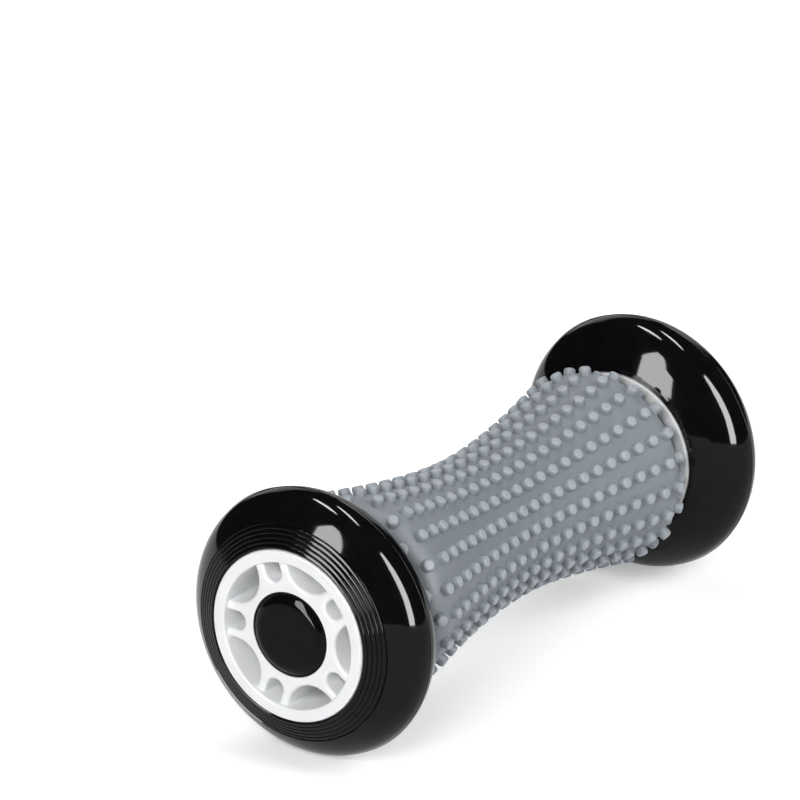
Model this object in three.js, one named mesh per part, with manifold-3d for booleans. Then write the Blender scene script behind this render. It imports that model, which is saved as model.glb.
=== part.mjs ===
// Spiky massage roller: an hourglass barrel in a studded rubber sleeve, carried on a through axle between
// two skate wheels that turn freely on ball bearings.
// Millimetres. The axle lies along Y, +Z is up and the origin is the middle of the axle.
// The left wheel is the one at -Y, the right wheel the one at +Y.

import * as THREE from 'three';
import { mergeVertices } from 'three/addons/utils/BufferGeometryUtils.js';
import Module from 'manifold-3d';

const wasm = await Module();
wasm.setup();

// Whole object
const rollerLength = 171;
const seatGap = 0.3;
const cutOverrun = 2;

// Ball bearing
const bearingBore = 8;
const bearingDiameter = 22;
const bearingWidth = 7;
const ballCount = 7;
const innerRaceWall = 2;
const outerRaceWall = 1.2;
const raceGrooveDepth = 0.8;
const raceGrooveWidth = 2;
const shieldThickness = 0.6;
const cageWall = 1.2;
const cageSideClearance = 0.7;

// Parts stacked along the axle, from the hub's inner face outwards
const bearingInset = 0.3;
const hubShoulderWidth = 2.4;
const hubShoulderHeight = 1.5;
const axleTapWall = 0.9;
const washerThickness = 1;
const screwHeadHeight = 2.4;
const screwHeadDiameter = 11;
const screwShankLength = 12;
const screwSocketWidth = 3.5;
const screwSocketDepth = 1.4;
const capHeadroom = 0.6;
const capPlateThickness = 1.5;

// Hub cap
const capSkirtWall = 1.2;
const capFlangeWidth = 0.9;
const capFlangeDrop = 0.8;
const capShoulderWidth = 2;
const capShoulderDrop = 0.3;

// Hub
const hubWall = 2;
const spokeLength = 5.7;
const rimWall = 3.25;
const hubEdgeChamfer = 0.5;
const starDrop = 1.3;
const rimLedge = 0.3;
const lockRibHeight = 3;
const lockRibWidth = 8;
const scallopRadius = 7.4;
const slotWidth = 4.8;
const slotCornerGap = 0.4;
const spokeCount = 5;

// Tyre
const tyreThickness = 12.55;
const sideZoneShare = 0.467;
const sideZoneDrop = 2.8;
const treadHandle = 4.1;

// Sleeve
const runningGap = 5.1;
const waistDiameter = 36.4;
const crownDiameter = 50;
const shoulderRadius = 5;
const flareHandleShare = 0.4;
const sleeveWall = 2.4;
const sleeveLipWidth = 2.4;

// Studs on the sleeve
const studRows = 22;
const studRowTurn = THREE.MathUtils.degToRad(-7.35);
const studPitch = 5.35;
const studWidth = 2.8;
const studHeight = 2;
const studTaper = 0.25;

// Core under the sleeve
const coreWall = 2.5;
const coreRibWidth = 2.4;
const coreRibPlace = 18;
const coreMouthInset = 2.1;

// End plug
const plugWebThickness = 2.6;
const plugSpigotDepth = 6;
const plugSpigotWall = 2;
const plugBossWall = 3;
const plugBossProud = 0.6;

// Numbers of facets
const tyreFacets = 32;
const hubFacets = 25;
const sleeveFlareSteps = 2;
const curveSteps = 4;
const capFacets = 20;
const ringFacets = 16;
const screwFacets = 12;
const ballFacets = 4;

// Places along the axle, measured from the middle of the roller
const hubWidth = bearingInset + 2 * bearingWidth + hubShoulderWidth + 4 * seatGap + washerThickness
  + screwHeadHeight + capHeadroom + capPlateThickness;
const hubOuterFace = rollerLength / 2;
const hubInnerFace = hubOuterFace - hubWidth;
const wheelMiddle = hubOuterFace - hubWidth / 2;
const inboardBearingStart = hubInnerFace + bearingInset;
const hubShoulderStart = inboardBearingStart + bearingWidth + seatGap;
const hubShoulderEnd = hubShoulderStart + hubShoulderWidth;
const outboardBearingStart = hubShoulderEnd + seatGap;
const washerStart = outboardBearingStart + bearingWidth + seatGap;
const screwHeadStart = washerStart + washerThickness + seatGap;
const capPlateStart = hubOuterFace - capPlateThickness;
const sleeveEnd = hubInnerFace - runningGap;
const coreEnd = sleeveEnd - sleeveWall - seatGap;
const plugFlangeStart = coreEnd + seatGap;
const plugBossEnd = sleeveEnd + plugBossProud;

// Radii on the axle and in the bearings
const axleRadius = bearingBore / 2 - seatGap;
const axleClearRadius = axleRadius + seatGap;
const axleTapRadius = axleRadius - axleTapWall;
const screwShankRadius = axleTapRadius - seatGap;
const innerLandRadius = bearingBore / 2 + innerRaceWall;
const innerGrooveRadius = innerLandRadius - raceGrooveDepth;
const outerGrooveRadius = bearingDiameter / 2 - outerRaceWall;
const ballPitchRadius = (innerGrooveRadius + outerGrooveRadius) / 2;
const ballRoom = Math.min(outerGrooveRadius - innerGrooveRadius, bearingWidth - 2 * shieldThickness);
const ballRadius = ballRoom / 2 - seatGap;
const cageWidth = bearingWidth - 2 * (shieldThickness + cageSideClearance);

// Radii of the wheel, from the bearing seat outwards
const bearingSeatRadius = bearingDiameter / 2 + seatGap;
const capRadius = bearingDiameter / 2;
const hubBossRadius = bearingSeatRadius + hubWall;
const rimInnerRadius = hubBossRadius + spokeLength;
const hubRadius = rimInnerRadius + rimWall;
const tyreRadius = hubRadius + tyreThickness;

// Radii at the barrel's ends
const sleeveLipRadius = crownDiameter / 2 - shoulderRadius - sleeveLipWidth;
const coreMouthRadius = sleeveLipRadius - coreMouthInset;
const plugBossRadius = axleClearRadius + plugBossWall;

// Points closer than this are one point: a small share of the seat gap.
const weldShare = 0.001;
const weldTolerance = seatGap * weldShare;

// Welds a geometry into a closed solid that can be joined and cut.
function toSolid(geometry) {
  const bare = geometry.clone();
  bare.deleteAttribute('normal');
  bare.deleteAttribute('uv');
  const welded = mergeVertices(bare, weldTolerance);
  const corners = welded.index.array;
  const kept = [];
  for (let i = 0; i < corners.length; i += 3) {
    const [a, b, c] = [corners[i], corners[i + 1], corners[i + 2]];
    if (a !== b && b !== c && c !== a) kept.push(a, b, c);
  }
  const mesh = new wasm.Mesh({
    numProp: 3,
    vertProperties: new Float32Array(welded.attributes.position.array),
    triVerts: new Uint32Array(kept),
  });
  return new wasm.Manifold(mesh);
}

// Turns a solid back into a geometry with flat faces.
function toGeometry(solid) {
  const mesh = solid.getMesh();
  const points = [];
  for (const corner of mesh.triVerts) {
    const first = corner * mesh.numProp;
    points.push(mesh.vertProperties[first], mesh.vertProperties[first + 1], mesh.vertProperties[first + 2]);
  }
  const geometry = new THREE.BufferGeometry();
  geometry.setAttribute('position', new THREE.Float32BufferAttribute(points, 3));
  geometry.computeVertexNormals();
  return geometry;
}

// Spins an outline of [radius, place along the axle] pairs round the axle, from an angle counted from +Z.
// The outline starts and ends on the axle's own line, or is closed first by repeating its first point.
function turned(outline, facets, startAngle = 0) {
  const points = outline.map(([radius, along]) => new THREE.Vector2(radius, along));
  return toSolid(new THREE.LatheGeometry(points, facets, startAngle));
}

function closed(outline) {
  return [...outline, outline[0]];
}

// A plain ring between two radii and two places along the axle.
function ring(innerRadius, outerRadius, start, end, facets) {
  const section = [[innerRadius, start], [outerRadius, start], [outerRadius, end], [innerRadius, end]];
  return turned(closed(section), facets);
}

function material(color, roughness, metalness) {
  return new THREE.MeshStandardMaterial({ color, roughness, metalness });
}

function piece(name, solid, finish) {
  const mesh = new THREE.Mesh(toGeometry(solid), finish);
  mesh.name = name;
  return mesh;
}

const blackTyre = () => material(0x111112, 0.22, 0);
const whiteShell = () => material(0xededef, 0.4, 0);
const blackCap = () => material(0x101011, 0.12, 0);
const greyRubber = () => material(0x8d949c, 0.55, 0);
const darkCore = () => material(0x4a4d52, 0.6, 0);
const polishedSteel = () => material(0xc4c6c9, 0.25, 1);
const blackOxide = () => material(0x2b2c2e, 0.45, 1);
const zincSteel = () => material(0xaeb2b5, 0.35, 1);
const brassCage = () => material(0xb08d4a, 0.4, 1);

// The barrel's meridian is a flare from the waist, on a curve with one handle on the waist's own line, to a
// round shoulder. The flare ends where the line from the handle touches the shoulder's arc.
const shoulderCentre = {
  along: sleeveEnd - shoulderRadius,
  radius: crownDiameter / 2 - shoulderRadius,
};
const waistRadius = waistDiameter / 2;
const flareHandle = flareHandleShare * shoulderCentre.along;
const handleToCentre = new THREE.Vector2(
  shoulderCentre.along - flareHandle,
  shoulderCentre.radius - waistRadius,
);
const flareAngle = handleToCentre.angle() + Math.asin(shoulderRadius / handleToCentre.length());
const flareEnd = {
  along: shoulderCentre.along - shoulderRadius * Math.sin(flareAngle),
  radius: shoulderCentre.radius + shoulderRadius * Math.cos(flareAngle),
};

// The meridian's radius and outward normal, as [across, along], at a place along the axle.
function meridian(along) {
  const side = Math.sign(along);
  const distance = Math.abs(along);
  if (distance > flareEnd.along) {
    const sine = Math.min(1, (distance - shoulderCentre.along) / shoulderRadius);
    const cosine = Math.sqrt(1 - sine * sine);
    return { radius: shoulderCentre.radius + shoulderRadius * cosine, normal: [cosine, side * sine] };
  }
  const bend = flareEnd.along - 2 * flareHandle;
  const t = distance / (flareHandle + Math.sqrt(flareHandle ** 2 + bend * distance));
  const rise = flareEnd.radius - waistRadius;
  const slope = (2 * rise * t) / (2 * flareHandle + 2 * bend * t);
  const length = Math.hypot(1, slope);
  return { radius: waistRadius + rise * t * t, normal: [1 / length, (-side * slope) / length] };
}

// One half of the meridian moved inwards by a depth: the flare, then the shoulder's arc.
function insetFlare(depth) {
  const points = [];
  for (let i = 0; i <= sleeveFlareSteps; i += 1) {
    const along = (flareEnd.along * i) / sleeveFlareSteps;
    const { radius, normal } = meridian(along);
    points.push([radius - depth * normal[0], along - depth * normal[1]]);
  }
  return points;
}

function insetShoulder(depth) {
  const arcRadius = shoulderRadius - depth;
  return [Math.PI / 4, Math.PI / 2].map((angle) => [
    shoulderCentre.radius + arcRadius * Math.cos(angle),
    shoulderCentre.along + arcRadius * Math.sin(angle),
  ]);
}

// Mirrors a half outline in the middle plane and joins both halves, from -Y to +Y.
function bothHalves(points) {
  const mirrored = points.slice(1).map(([radius, along]) => [radius, -along]).reverse();
  return [...mirrored, ...points];
}

// The sleeve is a net of stations along the axle and lines round it. Alternate rows of studs are shifted by
// half a pitch, so every stud covers one cell of the net and is raised from it as a tapered block.
// Inside, where no stud stands, the two lines of a row meet in one.
function sleeveSolid() {
  const halfPitch = studPitch / 2;
  const studsEachSide = Math.floor((sleeveEnd - seatGap - halfPitch) / studPitch);
  const stationCount = 2 * (2 * studsEachSide + 1) + 3;
  const stationMiddle = (stationCount - 1) / 2;
  const columns = 2 * studRows;
  const triangles = [];
  const rings = [];

  const ringAt = (radius, along, cellWidth) => {
    const line = [];
    const halfAngle = cellWidth / 2 / radius;
    for (let column = 0; column < columns; column += 1) {
      const row = Math.floor(column / 2);
      const side = column % 2 === 0 ? -1 : 1;
      const angle = studRowTurn + (2 * Math.PI * row) / studRows + side * halfAngle;
      line.push(new THREE.Vector3(radius * Math.sin(angle), along, radius * Math.cos(angle)));
    }
    return line;
  };
  const addQuad = (a, b, c, d) => {
    triangles.push(a, b, c, a, c, d);
  };

  // Past the shoulder's centre the pitch runs along the shoulder's arc.
  const stationAlong = (station) => {
    const way = (station - stationMiddle) * halfPitch;
    const wayOnArc = Math.abs(way) - shoulderCentre.along;
    if (wayOnArc <= 0) return way;
    const along = shoulderCentre.along + shoulderRadius * Math.sin(wayOnArc / shoulderRadius);
    return Math.sign(way) * along;
  };
  for (let station = 0; station < stationCount; station += 1) {
    const along = stationAlong(station);
    rings.push(ringAt(meridian(along).radius, along, studWidth));
  }
  const insideHalf = [
    ...insetFlare(sleeveWall),
    ...insetShoulder(sleeveWall),
    [sleeveLipRadius, sleeveEnd - sleeveWall],
    [sleeveLipRadius, sleeveEnd],
    [shoulderCentre.radius, sleeveEnd],
  ];
  for (const [radius, along] of bothHalves(insideHalf).reverse()) rings.push(ringAt(radius, along, 0));

  const isStud = (station, column) => {
    if (station >= stationCount - 1 || column % 2 === 1) return false;
    return (station + column / 2) % 2 === 1;
  };
  const addStud = (station, column) => {
    const next = column + 1;
    const base = [
      rings[station][column],
      rings[station][next],
      rings[station + 1][next],
      rings[station + 1][column],
    ];
    const middle = base.reduce((sum, p) => sum.add(p), new THREE.Vector3()).divideScalar(base.length);
    const { normal } = meridian((stationAlong(station) + stationAlong(station + 1)) / 2);
    const outward = new THREE.Vector3(middle.x, 0, middle.z).normalize().multiplyScalar(normal[0]);
    outward.y = normal[1];
    const top = base.map((p) => {
      const toMiddle = middle.clone().sub(p);
      return p.clone().addScaledVector(toMiddle.normalize(), studTaper).addScaledVector(outward, studHeight);
    });
    for (let i = 0; i < base.length; i += 1) {
      const j = (i + 1) % base.length;
      addQuad(base[i], base[j], top[j], top[i]);
    }
    addQuad(top[0], top[1], top[2], top[3]);
  };

  for (let station = 0; station < rings.length; station += 1) {
    const here = rings[station];
    const beyond = rings[(station + 1) % rings.length];
    for (let column = 0; column < columns; column += 1) {
      const next = (column + 1) % columns;
      if (isStud(station, column)) addStud(station, column);
      else addQuad(here[column], here[next], beyond[next], beyond[column]);
    }
  }
  return toSolid(new THREE.BufferGeometry().setFromPoints(triangles));
}

// The core is one turned shell with ribs that hold the axle, parted into an upper and a lower half.
// Its facets lie along the sleeve's inner facets.
function coreHalf(side) {
  const depth = sleeveWall + seatGap;
  const outside = bothHalves([...insetFlare(depth), ...insetShoulder(depth)]);
  const ribStart = coreRibPlace - coreRibWidth / 2;
  const ribEnd = coreRibPlace + coreRibWidth / 2;
  const wallRadius = (along) => meridian(along).radius - depth - coreWall;
  const mouthStart = coreEnd - plugSpigotDepth - 2 * seatGap;
  const insideHalf = [
    [wallRadius(0), 0],
    [wallRadius(ribStart), ribStart],
    [axleClearRadius, ribStart],
    [axleClearRadius, ribEnd],
    [wallRadius(ribEnd), ribEnd],
    ...insetFlare(depth + coreWall).filter(([, along]) => along > ribEnd && along < mouthStart),
    [wallRadius(mouthStart), mouthStart],
    [coreMouthRadius, mouthStart],
    [coreMouthRadius, coreEnd],
  ];
  const inside = bothHalves(insideHalf).reverse();
  const shell = turned(closed([...outside, ...inside]), studRows, studRowTurn);
  const half = new THREE.BoxGeometry(rollerLength, rollerLength, rollerLength);
  half.translate(0, 0, side * (rollerLength / 2 + seatGap / 2));
  return shell.intersect(toSolid(half));
}

// End plug of the barrel: a flange over the core's end, a spigot in its mouth and a boss on the axle.
function plugSolid() {
  const flange = sleeveLipRadius - seatGap;
  const flangeEnd = plugFlangeStart + plugWebThickness;
  const spigot = coreMouthRadius - seatGap;
  const spigotEnd = coreEnd - plugSpigotDepth;
  return turned(closed([
    [axleClearRadius, spigotEnd],
    [plugBossRadius, spigotEnd],
    [plugBossRadius, plugFlangeStart],
    [spigot - plugSpigotWall, plugFlangeStart],
    [spigot - plugSpigotWall, spigotEnd],
    [spigot, spigotEnd],
    [spigot, plugFlangeStart],
    [flange, plugFlangeStart],
    [flange, flangeEnd],
    [plugBossRadius, flangeEnd],
    [plugBossRadius, plugBossEnd],
    [axleClearRadius, plugBossEnd],
  ]), ringFacets);
}

// The axle has a tapped hole in each end, longer than the screw's shank reaches.
function axleSolid() {
  const end = outboardBearingStart + bearingWidth - seatGap;
  const depth = end - screwShankLength;
  const rod = [[0, -end], [axleRadius, -end], [axleRadius, end], [0, end]];
  const tap = [[0, depth], [axleTapRadius, depth], [axleTapRadius, end + cutOverrun], [0, end + cutOverrun]];
  const rightTap = turned(tap, screwFacets);
  const leftTap = rightTap.mirror([0, 1, 0]);
  return turned(rod, ringFacets).subtract(rightTap).subtract(leftTap);
}

// One scallop and one slot of the hub, as outlines in the plane across the axle, with the first along +X.
function scallopShape() {
  const centre = hubBossRadius + scallopRadius;
  const meet = (centre ** 2 + rimInnerRadius ** 2 - scallopRadius ** 2) / (2 * centre);
  const across = Math.sqrt(rimInnerRadius ** 2 - meet ** 2);
  const rimAngle = Math.atan2(across, meet);
  const roundStart = Math.atan2(across, meet - centre);
  const shape = new THREE.Shape();
  shape.absarc(0, 0, rimInnerRadius, -rimAngle, rimAngle, false);
  shape.absarc(centre, 0, scallopRadius, roundStart, 2 * Math.PI - roundStart, false);
  return shape;
}

function slotShape() {
  const half = slotWidth / 2;
  const inner = hubBossRadius + slotCornerGap + half;
  const outer = Math.sqrt(rimInnerRadius ** 2 - half ** 2);
  const shape = new THREE.Shape();
  shape.moveTo(outer, -half);
  shape.lineTo(rimInnerRadius, 0);
  shape.lineTo(outer, half);
  shape.lineTo(inner, half);
  shape.absarc(inner, 0, half, Math.PI / 2, (3 * Math.PI) / 2, false);
  return shape;
}

// Extrudes an outline through the hub along the axle and turns it round the axle.
function hubCut(shape, turn) {
  const depth = hubWidth + 2 * cutOverrun;
  const curveSegments = curveSteps - 1;
  const cut = new THREE.ExtrudeGeometry(shape, { depth, bevelEnabled: false, curveSegments });
  cut.translate(0, 0, -depth / 2);
  cut.rotateX(Math.PI / 2);
  cut.rotateY(turn);
  return toSolid(cut);
}

// The wheel's pieces are built about the wheel's own middle, with its outer side towards +Y.
// On that side the boss and spokes form a star that lies lower than the rim.
function hubSolid() {
  const face = hubWidth / 2;
  const shoulderRim = bearingSeatRadius - hubShoulderHeight;
  const shoulderStart = hubShoulderStart - wheelMiddle;
  const shoulderEnd = hubShoulderEnd - wheelMiddle;
  const recess = rimInnerRadius + rimLedge;
  const lockRib = hubRadius + lockRibHeight;
  let body = turned(closed([
    [bearingSeatRadius, -face],
    [hubRadius - hubEdgeChamfer, -face],
    [hubRadius, hubEdgeChamfer - face],
    [hubRadius, -lockRibWidth / 2],
    [lockRib, -lockRibWidth / 2],
    [lockRib, lockRibWidth / 2],
    [hubRadius, lockRibWidth / 2],
    [hubRadius, face - hubEdgeChamfer],
    [hubRadius - hubEdgeChamfer, face],
    [recess, face],
    [recess, face - starDrop],
    [bearingSeatRadius, face - starDrop],
    [bearingSeatRadius, shoulderEnd],
    [shoulderRim, shoulderEnd],
    [shoulderRim, shoulderStart],
    [bearingSeatRadius, shoulderStart],
  ]), hubFacets);
  const sector = (2 * Math.PI) / spokeCount;
  for (let i = 0; i < spokeCount; i += 1) {
    body = body.subtract(hubCut(scallopShape(), (i + 1 / 2) * sector));
    body = body.subtract(hubCut(slotShape(), i * sector));
  }
  return body;
}

// Half of the tyre's outside, from the edge of the ribbed side zone to the middle of the tread.
function treadOutline(side) {
  const zoneEdge = hubRadius + sideZoneShare * tyreThickness;
  const zoneFace = hubWidth / 2 - sideZoneDrop;
  const curve = new THREE.QuadraticBezierCurve(
    new THREE.Vector2(zoneEdge, side * zoneFace),
    new THREE.Vector2(tyreRadius, side * treadHandle),
    new THREE.Vector2(tyreRadius, 0),
  );
  return curve.getPoints(curveSteps).map((p) => [p.x, p.y]);
}

function tyreSolid() {
  const face = hubWidth / 2;
  const bore = hubRadius + seatGap;
  const groove = bore + lockRibHeight;
  const grooveEdge = lockRibWidth / 2 + seatGap;
  return turned(closed([
    [bore, -face],
    ...treadOutline(-1),
    ...treadOutline(1).reverse().slice(1),
    [bore, face],
    [bore, grooveEdge],
    [groove, grooveEdge],
    [groove, -grooveEdge],
    [bore, -grooveEdge],
  ]), tyreFacets);
}

// The cap's skirt stands on the outboard bearing, and its dome rises inside a flat flange.
function capSolid() {
  const plate = capPlateStart - wheelMiddle;
  const top = hubWidth / 2;
  const skirtEnd = washerStart - wheelMiddle;
  const inner = capRadius - capSkirtWall;
  const dome = capRadius - capFlangeWidth;
  return turned([
    [0, plate],
    [inner, plate],
    [inner, skirtEnd],
    [capRadius, skirtEnd],
    [capRadius, top - capFlangeDrop],
    [dome, top - capFlangeDrop],
    [dome - capShoulderWidth, top - capShoulderDrop],
    [0, top],
  ], capFacets);
}

// The outer race carries a shield on each side, and the inner race has a groove for the balls.
function outerRaceSolid() {
  const half = bearingWidth / 2;
  const outer = bearingDiameter / 2;
  const lip = innerLandRadius + seatGap;
  return turned(closed([
    [lip, -half],
    [outer, -half],
    [outer, half],
    [lip, half],
    [lip, half - shieldThickness],
    [outerGrooveRadius, half - shieldThickness],
    [outerGrooveRadius, shieldThickness - half],
    [lip, shieldThickness - half],
  ]), ringFacets);
}

function innerRaceSolid() {
  const half = bearingWidth / 2;
  const bore = bearingBore / 2;
  return turned(closed([
    [bore, -half],
    [innerLandRadius, -half],
    [innerGrooveRadius, -raceGrooveWidth / 2],
    [innerGrooveRadius, raceGrooveWidth / 2],
    [innerLandRadius, half],
    [bore, half],
  ]), ringFacets);
}

// The balls are held in a ring cage.
function ballCageSolid() {
  const half = cageWidth / 2;
  const inner = ballPitchRadius - cageWall / 2;
  const outer = ballPitchRadius + cageWall / 2;
  let cage = ring(inner, outer, -half, half, 2 * ballCount);
  for (let i = 0; i < ballCount; i += 1) {
    const ball = new THREE.SphereGeometry(ballRadius, ballFacets, ballFacets / 2);
    ball.translate(0, 0, ballPitchRadius);
    ball.rotateY((2 * Math.PI * i) / ballCount);
    cage = cage.add(toSolid(ball));
  }
  return cage;
}

// Screw with a low round head and a hexagon socket, head outwards.
function screwSolid() {
  const head = screwHeadDiameter / 2;
  const top = screwHeadHeight;
  const body = turned([
    [0, -screwShankLength],
    [screwShankRadius, -screwShankLength],
    [screwShankRadius, 0],
    [head, 0],
    [head, top / 2],
    [head - top / 2, top],
    [0, top],
  ], screwFacets);
  const floor = top - screwSocketDepth;
  const socket = screwSocketWidth / 2;
  const hexagonSides = 6;
  const key = turned([
    [0, floor],
    [socket, floor],
    [socket, top + cutOverrun],
    [0, top + cutOverrun],
  ], hexagonSides);
  return body.subtract(key);
}

// Everything that repeats at both ends is built once with its outer side towards +Y and then placed, turned
// half round for the left end.
function endGroup(side) {
  const name = side > 0 ? 'right' : 'left';
  const group = new THREE.Group();
  group.rotation.z = side > 0 ? 0 : Math.PI;

  const wheel = new THREE.Group();
  wheel.position.y = wheelMiddle;
  wheel.add(piece(`tyre_${name}`, tyreSolid(), blackTyre()));
  wheel.add(piece(`wheel_hub_${name}`, hubSolid(), whiteShell()));
  wheel.add(piece(`hub_cap_${name}`, capSolid(), blackCap()));
  group.add(wheel);

  const bearingStarts = { inboard: inboardBearingStart, outboard: outboardBearingStart };
  for (const [place, start] of Object.entries(bearingStarts)) {
    const bearing = new THREE.Group();
    bearing.position.y = start + bearingWidth / 2;
    bearing.add(piece(`bearing_outer_race_${name}_${place}`, outerRaceSolid(), polishedSteel()));
    bearing.add(piece(`bearing_inner_race_${name}_${place}`, innerRaceSolid(), polishedSteel()));
    bearing.add(piece(`ball_cage_${name}_${place}`, ballCageSolid(), brassCage()));
    group.add(bearing);
  }

  const collarStart = plugBossEnd + seatGap;
  const collarEnd = inboardBearingStart - seatGap;
  const collar = ring(axleClearRadius, innerLandRadius, collarStart, collarEnd, ringFacets);
  const spacer = ring(axleClearRadius, innerLandRadius, hubShoulderStart, hubShoulderEnd, ringFacets);
  const washerEnd = washerStart + washerThickness;
  const washer = ring(axleTapRadius, innerLandRadius, washerStart, washerEnd, ringFacets);
  group.add(piece(`barrel_end_plug_${name}`, plugSolid(), whiteShell()));
  group.add(piece(`distance_collar_${name}`, collar, zincSteel()));
  group.add(piece(`race_spacer_${name}`, spacer, zincSteel()));
  group.add(piece(`axle_washer_${name}`, washer, zincSteel()));

  const screw = piece(`axle_screw_${name}`, screwSolid(), blackOxide());
  screw.position.y = screwHeadStart;
  group.add(screw);
  return group;
}

const roller = new THREE.Group();
roller.add(piece('spiky_sleeve', sleeveSolid(), greyRubber()));
roller.add(piece('core_half_upper', coreHalf(1), darkCore()));
roller.add(piece('core_half_lower', coreHalf(-1), darkCore()));
roller.add(piece('axle_rod', axleSolid(), zincSteel()));
roller.add(endGroup(-1));
roller.add(endGroup(1));

export default roller;
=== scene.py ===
"""A spiky massage roller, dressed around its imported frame.

Metres, +Z up, the axle along Y. The left wheel is the one at -Y, nearest the camera. Pieces of the two ends
are modelled for the left end, with "outwards" towards -Y, and turned half round the upright axis for the
right end. An outline is a row of points, each of them (radius, place outwards).
"""

from __future__ import annotations

import logging
import math
from dataclasses import dataclass
from enum import Enum

import bmesh
import bpy
from mathutils import Matrix, Vector


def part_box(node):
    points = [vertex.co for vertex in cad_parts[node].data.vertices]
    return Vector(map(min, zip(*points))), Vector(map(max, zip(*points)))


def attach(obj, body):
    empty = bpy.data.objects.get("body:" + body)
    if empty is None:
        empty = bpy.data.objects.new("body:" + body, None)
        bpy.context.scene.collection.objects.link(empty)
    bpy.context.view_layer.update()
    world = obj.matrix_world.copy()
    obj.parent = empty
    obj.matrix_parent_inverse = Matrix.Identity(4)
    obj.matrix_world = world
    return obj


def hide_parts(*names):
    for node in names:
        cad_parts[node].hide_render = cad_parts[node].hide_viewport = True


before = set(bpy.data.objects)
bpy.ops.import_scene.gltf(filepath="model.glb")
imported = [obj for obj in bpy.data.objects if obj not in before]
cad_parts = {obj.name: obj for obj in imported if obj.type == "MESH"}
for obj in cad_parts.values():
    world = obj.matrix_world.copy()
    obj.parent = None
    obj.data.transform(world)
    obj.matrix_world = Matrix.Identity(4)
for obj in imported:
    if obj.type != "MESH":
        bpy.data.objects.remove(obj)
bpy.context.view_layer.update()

LOG = logging.getLogger("roller")
MM = 0.001
FULL_TURN = 2 * math.pi
QUARTER_TURN = math.pi / 2
WHITE = (1.0, 1.0, 1.0, 1.0)

Color = tuple[float, float, float]
Outline = list[tuple[float, float]]
Socket = bpy.types.NodeSocket


class End(Enum):
    """The two ends of the roller, each with the turn that brings a left piece there."""

    LEFT = 0.0
    RIGHT = math.pi

    def node(self, stem: str) -> str:
        """The name of this end's node of a kind, such as tyre_left, or with a place after a stroke."""
        kind, _, place = stem.partition("/")
        return "_".join(filter(None, (kind, self.name.lower(), place)))


class Body(str, Enum):
    """The moving bodies of the frame."""

    BARREL = "barrel"
    LEFT_WHEEL = "left_wheel"
    RIGHT_WHEEL = "right_wheel"
    LEFT_CAGES = "left_ball_cages"
    RIGHT_CAGES = "right_ball_cages"

    @classmethod
    def wheel(cls, end: End) -> Body:
        """The wheel at one end."""
        return cls[f"{end.name}_WHEEL"]

    @classmethod
    def cages(cls, end: End) -> Body:
        """The ball cages at one end."""
        return cls[f"{end.name}_CAGES"]


class Slot(str, Enum):
    """The material slots of the record."""

    SLEEVE = "sleeve_rubber"
    TYRE = "tyre_rubber"
    HUB = "hub_shell"
    CAP = "cap_gloss"
    CORE = "core_shell"
    BEARING = "bearing_steel"
    CAGE = "cage_brass"
    ZINC = "zinc_steel"
    SCREW = "screw_steel"


@dataclass(frozen=True)
class Extent:
    """Where a turned node lies: its radius and its reach outwards from the roller's middle."""

    radius: float
    inner: float
    outer: float

    @classmethod
    def of(cls, node: str) -> Extent:
        """Reads a node's extent from its box in the frame."""
        low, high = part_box(node)
        return cls(high.z, *sorted((abs(low.y), abs(high.y))))

    @property
    def middle(self) -> float:
        """The place halfway between the node's inner and outer ends."""
        return (self.inner + self.outer) / 2

    @property
    def width(self) -> float:
        """The node's length along the axle."""
        return self.outer - self.inner

    def ring(self, bore: float) -> Outline:
        """The closed outline of a plain ring that fills the extent down to a bore."""
        return stepped(bore, self.inner, self.radius, self.outer, bore)


def linear(tone: str) -> Color:
    """Turns a tone as it looks, in six hexadecimal digits, into Blender's linear values."""
    shares = [int(tone[i:i + 2], 16) / 255 for i in (0, 2, 4)]
    return tuple(s / 12.92 if s <= 0.04045 else ((s + 0.055) / 1.055) ** 2.4 for s in shares)


# Finishes


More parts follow.
